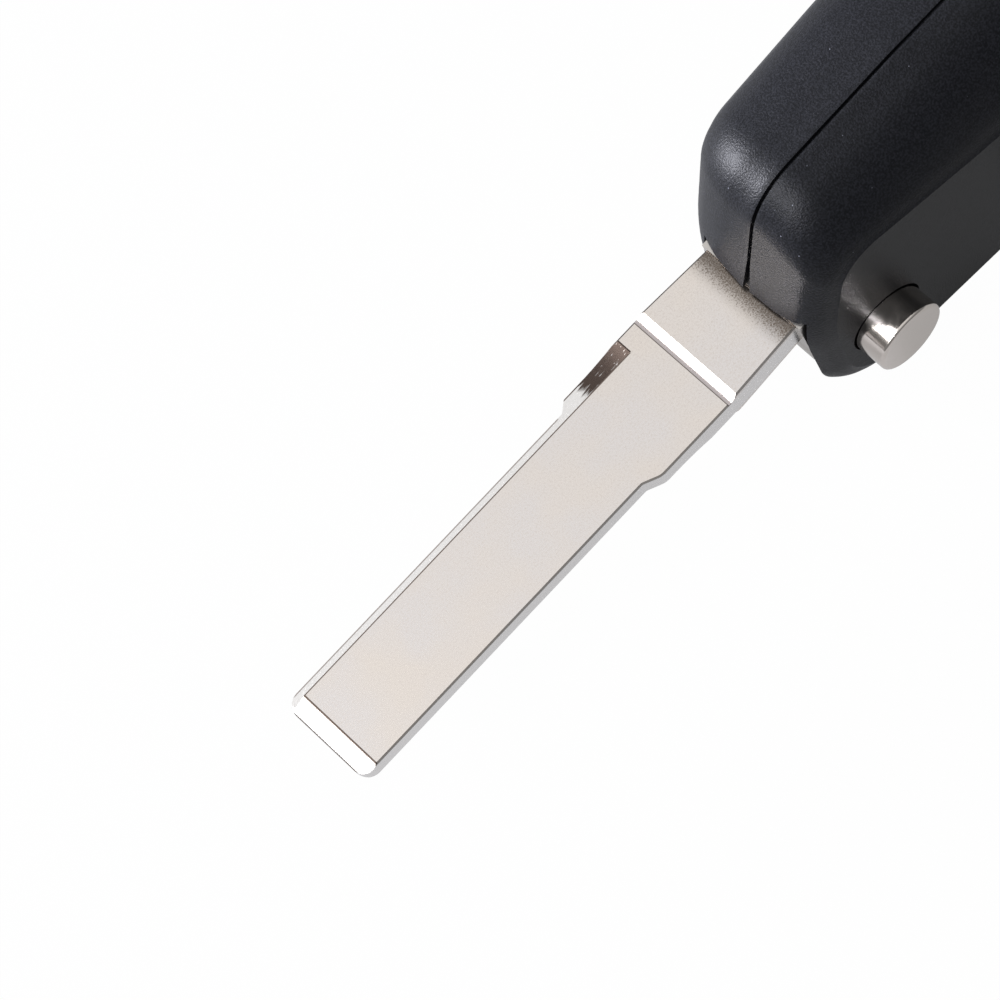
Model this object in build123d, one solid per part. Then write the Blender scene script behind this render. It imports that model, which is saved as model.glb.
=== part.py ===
from build123d import *
import os
from math import asin, hypot, sin, sqrt

# Car remote key with a folding blade, swung out. All sizes are in millimetres.
# X runs from the blade's tip towards the tail, the front face looks to -Y and Z is up.
# The key stands on the slot edge of its case, Z = 0, with the pivot above the origin.

# Pivot of the blade, along Y
PIVOT_Z = 8.4
RUNNING = 0.05
MOVING_GAP = 0.3

# Case outline as seen from the front
NOSE_X = -7.3
NOSE_BULGE_Z = 13.8
NOSE_LEAN = 0.335
TOP_NOSE_Z = 27.6
TOP_MID_X = 13.0
TOP_MID_Z = 28.1
TOP_TAIL_X = 56.5
TOP_TAIL_Z = 27.7
TAIL_X = 60.2
NOSE_CORNER_R = 7.0
NOSE_BULGE_R = 16.0
TOP_NOSE_R = 5.3
TOP_MID_R = 40.0
TOP_TAIL_R = 11.0
TAIL_CORNER_R = 7.5
FOOT_CUT = 0.9
FORM_SECTION_COUNT = 8
HOLLOW_SECTION_COUNT = 3
BLEND_SHARE = 0.95
OVER_RUN = 0.8
TAIL_DRAW = 0.6
NOSE_CORNER_SHARE = 0.6
TOP_CORNER_SHARE = 0.5
TAIL_CORNER_SHARE = 0.8
LEAST_CORNER_R = 1.5
FACE_CUT = 0.04

# Case walls. A tool that goes THROUGH clears both halves, one that ends PAST a surface
# clears that surface, and two places that are NEAR are the same.
THROUGH = 20.0
PAST = 1.0
NEAR = 0.01
WALL = 1.6
RIB = 1.2
CROWN_START_X = 20.0
CROWN_END_X = 62.0
SEAM_WIDTH = 0.3
SEAM_DEPTH = 0.45
SEAM_MOUTH_WIDTH = 0.75
SEAM_MOUTH_HEIGHT = 7.0
SEAM_MOUTH_LENGTH = 6.0

# Blade, with its lengths counted from the tip
BLADE_TIP_X = -54.1
BLADE_WIDTH = 9.0
BLADE_WIDE = 10.4
BLADE_THICK = 2.35
BLADE_TOP_Z = PIVOT_Z + 6.8
NARROW_LENGTH = 31.0
STEP_LENGTH = 40.25
SLOPE_LENGTH = 0.73
SHANK_RISE = 0.3
SHANK_MOUTH_WIDTH = 9.7
REBATE_WIDTH = 0.8
REBATE_WIDE_WIDTH = 1.5
REBATE_DEPTH = 0.65
REBATE_LENGTH = 38.0
CUTTER_R = 16.0
SHOULDER_SHORT = 0.9
SHOULDER_LONG = 1.5
SHOULDER_FOOT_R = 0.6
SHOULDER_TOP_R = 1.6
SHOULDER_SHARP_R = 0.25
SHANK_CORNER_R = 30.0
TIP_BEVEL_LENGTH = 1.55
TIP_BEVEL_DEPTH = 0.85
TIP_CORNER_R = 1.3
EDGE_BREAK = 0.15
STEP_GROOVE = 0.3
STEP_GROOVE_DEPTH = 0.12
TANG_WIDTH = 7.0
TANG_LAP = 0.1
TANG_END_X = -0.8

# Blade carrier and the chamber that it turns in
CARRIER_R = 6.2
CARRIER_WIDTH = 10.6
HEAD_FRONT_X = -6.2
HEAD_REAR_X = 0.8
HEAD_TOP = 7.3
HEAD_BOTTOM = 2.0
TANG_FIT = 0.02
CHAMBER_R = 7.7
CHAMBER_WIDTH = 11.2
JOURNAL_R = 5.2
JOURNAL_LENGTH = 0.9
PIVOT_BOSS_R = 2.2
PIVOT_BOSS_END_Y = 1.2
SPRING_SEAT_Y = 1.0
ROLL_PIN_R = 0.8
ROLL_PIN_BORE_R = 0.45
ROLL_PIN_X = -3.2
ROLL_PIN_SLIT = 0.35
ROLL_PIN_SUNK = 0.1
ROLL_PIN_REACH = 0.2

# Mouth and blade slot
LIP_Z = PIVOT_Z + 7.65
SLOT_WIDTH = 11.6
SLOT_TOP_Z = 4.9
SLOT_END_X = 55.2

# Release button
BUTTON_R = 3.25
BUTTON_FACE_Y = -9.9
BUTTON_ROUND = 0.3
BUTTON_WALL = 0.65
BUTTON_TOP = 0.8
BUTTON_SKIRT_Y = -1.5
BUTTON_HOLE_R = 3.42
BUTTON_TRAVEL = 2.2
FLANGE_R = 4.1
FLANGE_THICK = 0.7
FLANGE_GAP = 0.15
FLANGE_BORE_GAP = 0.1

# Flip spring
WIRE = 0.55
SPRING_R = 2.1
SPRING_TURNS = 4.5
SPRING_END_GAP = 0.05

# Remote keys
KEY_LENGTH = 8.8
KEY_HEIGHT = 10.4
KEY_CORNER_R = 2.4
KEY_GAP = 0.2
KEY_PROUD = 0.5
KEY_Z = 12.6
KEY_FIRST_X = 18.6
KEY_PITCH = 10.6
KEY_NAMES = ("lock_key", "unlock_key", "boot_key")
KEY_TRAVEL = 0.5
KEY_FLANGE = 0.7
KEY_FLANGE_THICK = 0.6
KEY_SEAT_Y = -6.7
KEY_SEAT_GAP = 0.15
FLANGE_POCKET = 1.7
KEY_STEM_R = 1.2
KEY_STEM_GAP = 0.1
KEY_HOLLOW = 1.1
KEY_HOLLOW_DEPTH = 0.9
KEY_ROUND = 0.4
PAD_MARGIN = 1.1

# Silicone mat behind the keys
MAT_THICK = 0.4
MAT_HOLE_R = 1.25
MAT_MARGIN = 0.4
MAT_CORNER_R = 1.0

# Circuit board and what is on it
BOARD_THICK = 1.0
BOARD_FRONT_Y = -2.6
BOARD_X0 = 12.2
BOARD_X1 = 47.6
BOARD_Z0 = 7.0
BOARD_Z1 = 22.8
BOARD_CORNER_R = 1.2
SWITCH_SIDE = 4.2
SWITCH_BODY = 1.5
SWITCH_PLUNGER_R = 1.0
SWITCH_PLUNGER = 0.4
SWITCH_CORNER_R = 0.4
CHIP_LENGTH = 5.2
CHIP_WIDTH = 4.0
CHIP_HEIGHT = 1.4
CHIP_X = 16.2
CHIP_Z = 10.8
CHIP_LEGS = 7
CHIP_LEG_PITCH = 0.65
CHIP_LEG_WIDTH = 0.28
CHIP_LEG_REACH = 0.8
CHIP_LEG_KNEE = 0.3
CHIP_LEG_THICK = 0.2
CHIP_LEG_RISE = 0.7
CHIP_STAND = 0.1
CHIP_EDGE = 0.2
CRYSTAL_LENGTH = 4.6
CRYSTAL_WIDTH = 2.0
CRYSTAL_HEIGHT = 1.3
CRYSTAL_EDGE_R = 0.25
CRYSTAL_X = 16.2
CRYSTAL_Z = 16.4
COIL_LENGTH = 6.4
COIL_WIDTH = 2.6
COIL_HEIGHT = 2.4
COIL_FLANGE = 0.6
COIL_RELIEF = 0.35
COIL_X = 24.2
COIL_Z = 9.4

# Coin cell and its contacts
CELL_R = 8.0
CELL_THICK = 2.0
CELL_RIM = 0.35
CELL_X = 37.6
CELL_Z = 14.9
CELL_GAP = 0.9
CELL_POLE_INSET = 0.9
CELL_EDGE = 0.3
CONTACT_THICK = 0.25
CONTACT_WIDTH = 3.2
CONTACT_BASE = 8.0
CONTACT_FOLD = 2.0
CONTACT_TOE = 0.5
CONTACT_TOE_DROP = 0.3
CONTACT_TOUCH = 0.02
CLIP_SIDE_GAP = 0.15
CLIP_FOOT = 1.0
CLIP_FOOT_INSET = 0.6
LEAF_SHARE = 0.7

# Transponder capsule and its cradle in the nose
CAPSULE_R = 1.5
CAPSULE_LENGTH = 12.0
CAPSULE_END_FLAT_R = 0.05
CAPSULE_X = 4.8
CAPSULE_Z = 20.6
CAPSULE_Y = 2.6
CRADLE_GAP = 0.05
CRADLE_RIB = 1.2
CRADLE_X = (0.8, 7.6)
CRADLE_TOP_Z = 22.6

# Case screw, driven in from the back
SCREW_X = 9.4
SCREW_Z = 15.7
SCREW_BOSS_R = 2.3
SCREW_R = 0.8
SCREW_CLEAR_R = 1.0
SCREW_HOLE_DEPTH = 6.0
SCREW_HEAD_R = 1.6
SCREW_HEAD = 1.0
SCREW_RECESS_R = 1.8
SCREW_RECESS = 1.4
SCREW_LENGTH = 9.0
SCREW_FIT = 0.02
SCREW_HEAD_ROUND = 0.3
SCREW_CROSS_WIDTH = 0.4
SCREW_CROSS_DEPTH = 0.3
SCREW_CROSS_SHARE = 0.65

# Key-ring eye through the tail
EYE_R = 2.5
EYE_X = 52.4
EYE_Z = 19.2
EYE_BOSS_R = 4.4
EYE_EDGE = 0.4

FRONT, BACK = -1, 1


class Half:
    """Sizes of one half of the case. A depth is measured from the seam at the pivot.

    The face flares from the nose and then curves back in to the tail.
    """

    def __init__(self, side, depth, flare, tail_depth, top, nose, foot, tail):
        self.side = side
        self.depth = depth
        self.flare = flare
        self.tail_depth = tail_depth
        self.blends = {"top": top, "nose": nose, "foot": foot, "tail": tail}

    def depth_at(self, x):
        """Depth of the flat face at x, before its crown starts."""
        return self.depth + self.flare * x

    def tail_share(self, wall):
        """Share of the flared depth that the curved face leaves at the tail."""
        flared = self.depth_at(TOP_TAIL_X) * (self.depth - wall) / self.depth
        return (self.tail_depth - wall) / flared

    def plane(self, depth):
        """Plane parallel to the seam at depth 0, tilting to the flat face at full depth."""
        lean = self.flare * depth / self.depth
        run = 1 / sqrt(1 + lean * lean)
        return Plane(
            origin=(0, self.side * depth, 0),
            x_dir=(run, self.side * lean * run, 0),
            z_dir=(self.side * lean * run, -run, 0),
        )


class Blend:
    """Rounding from a side wall to the face, given by how far it reaches in from the wall.

    The three reaches are those at the nose, the middle and the tail. A power of 2 makes
    an elliptic rounding, and a higher one keeps the wall straight for longer.
    """

    def __init__(self, reach_nose, reach_mid, reach_tail, power):
        self.reach = (reach_nose, reach_mid, reach_tail)
        self.power = power

    def sweep(self, share):
        return 1 - (1 - share**self.power) ** (1 / self.power)

    def inset(self, place, rise):
        """Distance in from the wall at a rise of 0 at the seam to 1 at the face."""
        swept = self.sweep(BLEND_SHARE * min(rise, 1)) / self.sweep(BLEND_SHARE)
        return self.reach[place] * (swept + OVER_RUN * max(rise - 1, 0))


FRONT_HALF = Half(
    side=FRONT,
    depth=7.2,
    flare=0.056,
    tail_depth=7.3,
    top=Blend(4.7, 7.7, 7.7, 2.0),
    nose=Blend(3.0, 3.0, 3.0, 4.0),
    foot=Blend(2.2, 2.2, 2.2, 5.0),
    tail=Blend(4.6, 4.6, 4.6, 2.6),
)
BACK_HALF = Half(
    side=BACK,
    depth=9.2,
    flare=0.045,
    tail_depth=8.2,
    top=Blend(5.2, 5.6, 5.6, 2.2),
    nose=Blend(4.6, 4.6, 4.6, 2.4),
    foot=Blend(3.0, 3.0, 3.0, 4.0),
    tail=Blend(5.2, 5.2, 5.2, 2.6),
)


def outline(half, rise, wall=0.0):
    """Case outline on the plane at one rise, from 0 at the seam to 1 at the flared face."""
    near = (rise, rise, rise / half.tail_share(wall))
    insets = {
        name: [blend.inset(place, near[place]) + wall for place in range(3)]
        for name, blend in half.blends.items()
    }
    top, nose, foot, tail = (insets[name] for name in ("top", "nose", "foot", "tail"))
    top_nose_z = TOP_NOSE_Z - top[0]
    front_x = NOSE_X + nose[0]
    points = [
        (front_x, foot[0] - FOOT_CUT),
        (front_x, NOSE_BULGE_Z),
        (front_x + NOSE_LEAN * (top_nose_z - NOSE_BULGE_Z), top_nose_z),
        (TOP_MID_X, TOP_MID_Z - top[1]),
        (TOP_TAIL_X - tail[2] * TAIL_DRAW, TOP_TAIL_Z - top[2]),
        (TAIL_X - tail[2], foot[2] - FOOT_CUT),
    ]
    radii = [
        NOSE_CORNER_R - max(nose[0], foot[0]) * NOSE_CORNER_SHARE,
        NOSE_BULGE_R,
        TOP_NOSE_R - nose[0] * TOP_CORNER_SHARE,
        TOP_MID_R,
        TOP_TAIL_R - tail[2] * TAIL_CORNER_SHARE,
        TAIL_CORNER_R - tail[2] * TAIL_CORNER_SHARE,
    ]
    radii = [max(radius, LEAST_CORNER_R) for radius in radii]
    wire = FilletPolyline(*points, radius=radii, close=True)
    return half.plane(rise * (half.depth - wall)) * make_face(wire)


def crown(half, wall=0.0):
    """Prism of the half as seen from above: a flared flat, then a curve to the tail."""
    x0 = NOSE_X - PAST
    inside = wall + FACE_CUT
    start = (CROWN_START_X, half.side * (half.depth_at(CROWN_START_X) - inside))
    end = (CROWN_END_X, half.side * (half.tail_depth - inside))
    nose = (x0, half.side * (half.depth_at(x0) - inside))
    edge = [
        Line((x0, 0), nose),
        Line(nose, start),
        TangentArc(start, end, tangent=(1, half.side * half.flare)),
        Line(end, (CROWN_END_X, 0)),
        Line((CROWN_END_X, 0), (x0, 0)),
    ]
    low_z = -FOOT_CUT - PAST
    height = TOP_MID_Z + PAST - low_z
    return Pos(0, 0, low_z) * extrude(make_face(edge), amount=height, dir=(0, 0, 1))


def half_form(half, wall=0.0):
    """Outer form of a half, or its inner form one wall further in."""
    hollow = wall > 0
    count = HOLLOW_SECTION_COUNT if hollow else FORM_SECTION_COUNT
    sweep = asin(BLEND_SHARE)
    rises = [sin(sweep * step / count) / BLEND_SHARE for step in range(count + 1)]
    sections = [outline(half, rise, wall) for rise in rises]
    return loft(sections, ruled=hollow) & crown(half, wall)


def box_between(x0, x1, y0, y1, z0, z1):
    size = Box(x1 - x0, y1 - y0, z1 - z0)
    return Pos((x0 + x1) / 2, (y0 + y1) / 2, (z0 + z1) / 2) * size


def rod(radius, y0, y1, x=0.0, z=PIVOT_Z):
    """Cylinder along Y from y0 to y1."""
    turn = Location((x, (y0 + y1) / 2, z), (90, 0, 0))
    return turn * Cylinder(radius, abs(y1 - y0))


def ground(part):
    """Cuts what reaches below the edge that the key stands on."""
    reach = TAIL_X - BLADE_TIP_X
    return part - box_between(-reach, reach, -reach, reach, -FOOT_CUT - PAST, 0)


def seam_groove(half):
    """Shallow groove along the seam, which opens into a wedge over the mouth."""
    slab = SEAM_WIDTH / 2
    low_z = -FOOT_CUT - PAST
    top_z = TOP_MID_Z + PAST
    outer = box_between(NOSE_X - PAST, TAIL_X + PAST, -slab, slab, low_z, top_z)
    inner = extrude(outline(half, 0, SEAM_DEPTH), amount=WALL, both=True)
    ring = outer - inner
    wedge_x = NOSE_X + NOSE_LEAN * (LIP_Z - NOSE_BULGE_Z)
    wedge = Plane.YZ * make_face(
        Polyline(
            (-SEAM_MOUTH_WIDTH / 2, LIP_Z - PAST),
            (SEAM_MOUTH_WIDTH / 2, LIP_Z - PAST),
            (0, LIP_Z + SEAM_MOUTH_HEIGHT),
            close=True,
        )
    )
    notch = Pos(wedge_x - 2 * PAST, 0, 0) * extrude(wedge, amount=SEAM_MOUTH_LENGTH)
    return ring + (notch - inner)


def chamber_and_slot():
    """Room for the carrier and for the folded blade, open at the nose and the foot."""
    half_chamber = CHAMBER_WIDTH / 2
    half_slot = SLOT_WIDTH / 2
    room = rod(CHAMBER_R, -half_chamber, half_chamber)
    room += box_between(NOSE_X - PAST, 0, -half_chamber, half_chamber, -PAST, LIP_Z)
    room += box_between(0, SLOT_END_X, -half_slot, half_slot, -PAST, SLOT_TOP_Z)
    return room


def bay(half, kept):
    """Hollow of a half above the chamber and the slot, less the ribs kept inside it."""
    hollow = half_form(half, WALL)
    for rib in kept:
        hollow -= rib
    hollow -= rod(CHAMBER_R + RIB, -THROUGH, THROUGH)
    low_x = NOSE_X - PAST
    tail_x = TAIL_X + PAST
    low_z = -FOOT_CUT - PAST
    hollow -= box_between(low_x, 0, -THROUGH, THROUGH, low_z, LIP_Z + RIB)
    hollow -= box_between(low_x, tail_x, -THROUGH, THROUGH, low_z, SLOT_TOP_Z + RIB)
    hollow -= rod(EYE_BOSS_R, -THROUGH, THROUGH, EYE_X, EYE_Z)
    hollow -= box_between(EYE_X, tail_x, -THROUGH, THROUGH, EYE_Z - EYE_BOSS_R, TOP_MID_Z)
    hollow -= rod(SCREW_BOSS_R, -THROUGH, THROUGH, SCREW_X, SCREW_Z)
    return hollow


def cut_eye(cover):
    """Hole for the key ring, with its rim broken where it leaves the outer face."""

    def on_rim(edge):
        spots = [edge.position_at(place / 4) for place in range(4)]
        off = [abs(hypot(spot.X - EYE_X, spot.Z - EYE_Z) - EYE_R) for spot in spots]
        curved = edge.geom_type != GeomType.LINE
        return curved and max(off) < NEAR and abs(edge.center().Y) > WALL

    cover -= rod(EYE_R, -THROUGH, THROUGH, EYE_X, EYE_Z)
    return chamfer(cover.edges().filter_by(on_rim), EYE_EDGE)


def key_x(index):
    return KEY_FIRST_X + KEY_PITCH * index


def key_prism(index, margin, y0, y1):
    """Rounded block of one remote key's plan, from y0 to y1."""
    plan = RectangleRounded(
        KEY_LENGTH + 2 * margin, KEY_HEIGHT + 2 * margin, KEY_CORNER_R + margin
    )
    frame = Plane.XZ.offset(-y0)
    face = frame * (Pos(key_x(index), KEY_Z) * plan)
    return extrude(face, amount=y0 - y1)


def key_panel():
    """Flat seat that the keys' flanges rest against, behind the windows."""
    reach_x = KEY_LENGTH / 2 + KEY_FLANGE + PAD_MARGIN
    reach_z = KEY_HEIGHT / 2 + KEY_FLANGE + PAD_MARGIN
    return box_between(
        KEY_FIRST_X - reach_x,
        key_x(len(KEY_NAMES) - 1) + reach_x,
        -THROUGH,
        KEY_SEAT_Y,
        KEY_Z - reach_z,
        KEY_Z + reach_z,
    )


def flange_pocket():
    """One shallow pocket that clears the flanges of all the keys where the wall closes in."""
    reach = KEY_FLANGE + KEY_GAP
    height = KEY_HEIGHT / 2 + reach
    return box_between(
        KEY_FIRST_X - KEY_LENGTH / 2 - reach,
        key_x(len(KEY_NAMES) - 1) + KEY_LENGTH / 2 + reach,
        KEY_SEAT_Y,
        KEY_SEAT_Y + FLANGE_POCKET,
        KEY_Z - height,
        KEY_Z + height,
    )


def make_front_cover():
    cover = half_form(FRONT_HALF) - bay(FRONT_HALF, [key_panel()])
    cover -= chamber_and_slot()
    chamber_y = -CHAMBER_WIDTH / 2
    journal_y = chamber_y - JOURNAL_LENGTH + MOVING_GAP / 2
    cover -= rod(JOURNAL_R + RUNNING, journal_y, chamber_y + PAST)
    cover -= rod(BUTTON_HOLE_R, -THROUGH, chamber_y + PAST)
    for index in range(len(KEY_NAMES)):
        cover -= key_prism(index, KEY_GAP, KEY_SEAT_Y + FLANGE_POCKET, -THROUGH)
    cover -= flange_pocket()
    cover -= rod(SCREW_R, -SCREW_HOLE_DEPTH, PAST, SCREW_X, SCREW_Z)
    cover = cut_eye(cover)
    cover -= seam_groove(FRONT_HALF)
    return ground(cover)


def cradle_ribs():
    """Two ribs across the nose of the back half, which carry the transponder capsule."""
    low_z = LIP_Z
    return [
        box_between(x, x + CRADLE_RIB, SEAM_WIDTH, THROUGH, low_z, CRADLE_TOP_Z)
        for x in CRADLE_X
    ]


def capsule_seat():
    """Round seat through the ribs, open towards the seam."""
    reach = CAPSULE_R + CRADLE_GAP
    end = CAPSULE_LENGTH / 2 + MOVING_GAP
    turn = Location((CAPSULE_X, CAPSULE_Y, CAPSULE_Z), (0, 90, 0))
    way_in = box_between(
        CAPSULE_X - end,
        CAPSULE_X + end,
        -PAST,
        CAPSULE_Y,
        CAPSULE_Z - reach,
        CAPSULE_Z + reach,
    )
    return turn * Cylinder(reach, 2 * end) + way_in


def make_back_cover():
    cover = half_form(BACK_HALF) - bay(BACK_HALF, cradle_ribs())
    cover -= capsule_seat()
    cover -= chamber_and_slot()
    cover += rod(PIVOT_BOSS_R, PIVOT_BOSS_END_Y, CHAMBER_WIDTH / 2 + WALL / 2)
    recess_y = BACK_HALF.depth_at(SCREW_X) - SCREW_RECESS
    cover -= rod(SCREW_CLEAR_R, -PAST, THROUGH, SCREW_X, SCREW_Z)
    cover -= rod(SCREW_RECESS_R, recess_y, THROUGH, SCREW_X, SCREW_Z)
    cover = cut_eye(cover)
    cover -= seam_groove(BACK_HALF)
    return ground(cover)


def blade_plan():
    """Corners of the blade from above, from its tip to the shank's end, and their radii."""
    half = BLADE_WIDTH / 2
    wide = BLADE_WIDE / 2
    x_shoulder = BLADE_TIP_X + NARROW_LENGTH
    x_step = BLADE_TIP_X + STEP_LENGTH
    mouth = SHANK_MOUTH_WIDTH / 2
    points = [
        (BLADE_TIP_X, -half),
        (x_shoulder, -half),
        (x_shoulder + SHOULDER_LONG, -wide),
        (x_step, -wide),
        (HEAD_FRONT_X, -mouth),
        (HEAD_FRONT_X, mouth),
        (x_step, wide),
        (x_shoulder + SHOULDER_SHORT, wide),
        (x_shoulder, half),
        (BLADE_TIP_X, half),
    ]
    radii = [
        TIP_CORNER_R,
        SHOULDER_FOOT_R,
        SHOULDER_TOP_R,
        SHANK_CORNER_R,
        0,
        0,
        SHANK_CORNER_R,
        SHOULDER_SHARP_R,
        SHOULDER_SHARP_R,
        TIP_CORNER_R,
    ]
    return points, radii


def make_blade():
    bottom = BLADE_TOP_Z - BLADE_THICK
    points, radii = blade_plan()
    plan = make_face(
        FilletPolyline(
            *points,
            radius=radii,
            close=True,
        )
    )
    body = broken_slab(plan, bottom, BLADE_TOP_Z)
    x_step = BLADE_TIP_X + STEP_LENGTH
    x_top = x_step + SLOPE_LENGTH
    shank = broken_slab(plan, bottom - SHANK_RISE, BLADE_TOP_Z + SHANK_RISE)
    keep = Plane.XZ * make_face(
        Polyline(
            (x_step, BLADE_TOP_Z - NEAR),
            (x_top, BLADE_TOP_Z + SHANK_RISE),
            (0, BLADE_TOP_Z + SHANK_RISE),
            (0, bottom - SHANK_RISE),
            (x_top, bottom - SHANK_RISE),
            (x_step, bottom + NEAR),
            close=True,
        )
    )
    body += shank & extrude(keep, amount=BLADE_WIDE, both=True)
    tang = box_between(
        HEAD_FRONT_X - TANG_LAP,
        TANG_END_X,
        -TANG_WIDTH / 2,
        TANG_WIDTH / 2,
        bottom,
        BLADE_TOP_Z,
    )
    body += tang
    body -= rebate(BACK, BLADE_TOP_Z, 1)
    body -= rebate(FRONT, bottom, -1)
    body -= tip_bevel(BLADE_TOP_Z, 1)
    body -= tip_bevel(bottom, -1)
    groove = box_between(
        x_step - STEP_GROOVE,
        x_step,
        -BLADE_WIDE,
        BLADE_WIDE,
        BLADE_TOP_Z - STEP_GROOVE_DEPTH,
        BLADE_TOP_Z + PAST,
    )
    body -= groove
    body -= Pos(ROLL_PIN_X, 0, BLADE_TOP_Z) * Cylinder(ROLL_PIN_R, 4 * BLADE_THICK)
    return body


def broken_slab(plan, low_z, high_z):
    """Slab of the blade's plan with its edges broken on both faces."""
    slab = extrude(Pos(0, 0, low_z) * plan, amount=high_z - low_z)
    rims = slab.edges().group_by(Axis.Z)
    return chamfer(rims[0] + rims[-1], EDGE_BREAK)


def rebate(side, face_z, up):
    """Step milled along one edge of a face, which runs out on the cutter's radius."""
    half = BLADE_WIDTH / 2
    x_end = BLADE_TIP_X + REBATE_LENGTH
    x_shoulder = BLADE_TIP_X + NARROW_LENGTH
    run = sqrt(CUTTER_R**2 - (CUTTER_R - REBATE_DEPTH) ** 2)
    floor = face_z - up * REBATE_DEPTH
    over = face_z + up * PAST
    inner = side * (half - REBATE_WIDTH)
    outer = side * (BLADE_WIDE / 2 + PAST)
    strip = box_between(
        BLADE_TIP_X - PAST,
        x_end - run,
        min(inner, outer),
        max(inner, outer),
        min(floor, over),
        max(floor, over),
    )
    disc = Location((x_end - run, (inner + outer) / 2, floor + up * CUTTER_R), (90, 0, 0))
    cutter = disc * Cylinder(CUTTER_R, abs(outer - inner))
    limit = box_between(
        x_end - run - PAST / 2,
        x_end + PAST,
        -BLADE_WIDE,
        BLADE_WIDE,
        min(floor - PAST / 10, over),
        max(floor + PAST / 10, over),
    )
    return strip + (cutter & limit)


def tip_bevel(face_z, up):
    """Wedge that bevels the blade's end on one face."""
    x_top = BLADE_TIP_X + TIP_BEVEL_LENGTH
    x_out = BLADE_TIP_X - PAST
    fall = TIP_BEVEL_DEPTH * (1 + PAST / TIP_BEVEL_LENGTH)
    wedge = Plane.XZ * make_face(
        Polyline(
            (x_out, face_z - up * fall),
            (x_top, face_z),
            (x_top, face_z + up * PAST),
            (x_out, face_z + up * PAST),
            close=True,
        )
    )
    return extrude(wedge, amount=BLADE_WIDE, both=True)


def make_blade_carrier():
    half = CARRIER_WIDTH / 2
    body = rod(CARRIER_R, -half, half)
    body += box_between(
        HEAD_FRONT_X,
        HEAD_REAR_X,
        -half,
        half,
        PIVOT_Z + HEAD_BOTTOM,
        PIVOT_Z + HEAD_TOP,
    )
    journal_y = -CHAMBER_WIDTH / 2 - JOURNAL_LENGTH + MOVING_GAP
    body += rod(JOURNAL_R, journal_y, -half)
    flange_room = BUTTON_TRAVEL + FLANGE_THICK + FLANGE_GAP + MOVING_GAP
    body -= rod(FLANGE_R + FLANGE_BORE_GAP, journal_y - PAST, journal_y + flange_room)
    body -= rod(BUTTON_R + RUNNING, journal_y - PAST, SPRING_SEAT_Y)
    body -= rod(PIVOT_BOSS_R + RUNNING, SPRING_SEAT_Y - PAST, half + PAST)
    bottom = BLADE_TOP_Z - BLADE_THICK
    body -= box_between(
        HEAD_FRONT_X - PAST,
        TANG_END_X + TANG_FIT,
        -TANG_WIDTH / 2 - TANG_FIT,
        TANG_WIDTH / 2 + TANG_FIT,
        bottom - TANG_FIT,
        BLADE_TOP_Z + TANG_FIT,
    )
    bore = 2 * (HEAD_TOP - HEAD_BOTTOM)
    body -= Pos(ROLL_PIN_X, 0, PIVOT_Z + HEAD_TOP) * Cylinder(ROLL_PIN_R, bore)
    return body


def make_roll_pin():
    top = PIVOT_Z + HEAD_TOP - ROLL_PIN_SUNK
    low = BLADE_TOP_Z - BLADE_THICK - ROLL_PIN_REACH
    pin = Pos(ROLL_PIN_X, 0, (top + low) / 2) * Cylinder(ROLL_PIN_R - NEAR, top - low)
    pin -= Pos(ROLL_PIN_X, 0, top) * Cylinder(ROLL_PIN_BORE_R, THROUGH)
    pin -= box_between(
        ROLL_PIN_X,
        ROLL_PIN_X + ROLL_PIN_R + PAST,
        -ROLL_PIN_SLIT / 2,
        ROLL_PIN_SLIT / 2,
        low - PAST,
        top + PAST,
    )
    return pin


def make_release_button():
    body = rod(BUTTON_R, BUTTON_FACE_Y, BUTTON_SKIRT_Y)
    rim = body.edges().filter_by(GeomType.CIRCLE).sort_by(Axis.Y)[0]
    body = fillet(rim, BUTTON_ROUND)
    flange_y = -CHAMBER_WIDTH / 2 - JOURNAL_LENGTH + MOVING_GAP / 2 + FLANGE_GAP
    body += rod(FLANGE_R, flange_y, flange_y + FLANGE_THICK)
    body -= rod(BUTTON_R - BUTTON_WALL, BUTTON_FACE_Y + BUTTON_TOP, 0)
    return body


def make_flip_spring():
    y0 = BUTTON_FACE_Y + BUTTON_TOP + SPRING_END_GAP + WIRE / 2
    y1 = SPRING_SEAT_Y - SPRING_END_GAP - WIRE / 2
    height = y1 - y0
    path = Helix(
        pitch=height / SPRING_TURNS,
        height=height,
        radius=SPRING_R,
        center=(0, y0, PIVOT_Z),
        direction=(0, 1, 0),
    )
    start = Plane(origin=path @ 0, x_dir=(0, 1, 0), z_dir=path % 0)
    wire = start * Rectangle(WIRE, WIRE)
    return sweep(wire, path=path, is_frenet=True)


def key_cap(index):
    """Cap of one remote key: domed face, retaining flange and a stem for its switch."""
    seat = KEY_SEAT_Y + KEY_SEAT_GAP
    cap = key_prism(index, 0, seat, -THROUGH)
    form = crown(FRONT_HALF, -KEY_PROUD)
    cap = cap & form
    face = cap.faces().sort_by(Axis.Y)[0]
    cap = fillet(face.edges(), KEY_ROUND)
    back = seat + KEY_FLANGE_THICK
    cap += key_prism(index, KEY_FLANGE, back, seat)
    cap -= key_prism(index, -KEY_HOLLOW, back, seat - KEY_HOLLOW_DEPTH)
    stem_end = BOARD_FRONT_Y - SWITCH_BODY - SWITCH_PLUNGER - KEY_TRAVEL - KEY_STEM_GAP
    stem_root = seat - KEY_HOLLOW_DEPTH - CONTACT_TOUCH
    cap += rod(KEY_STEM_R, stem_root, stem_end, key_x(index), KEY_Z)
    return cap


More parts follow.
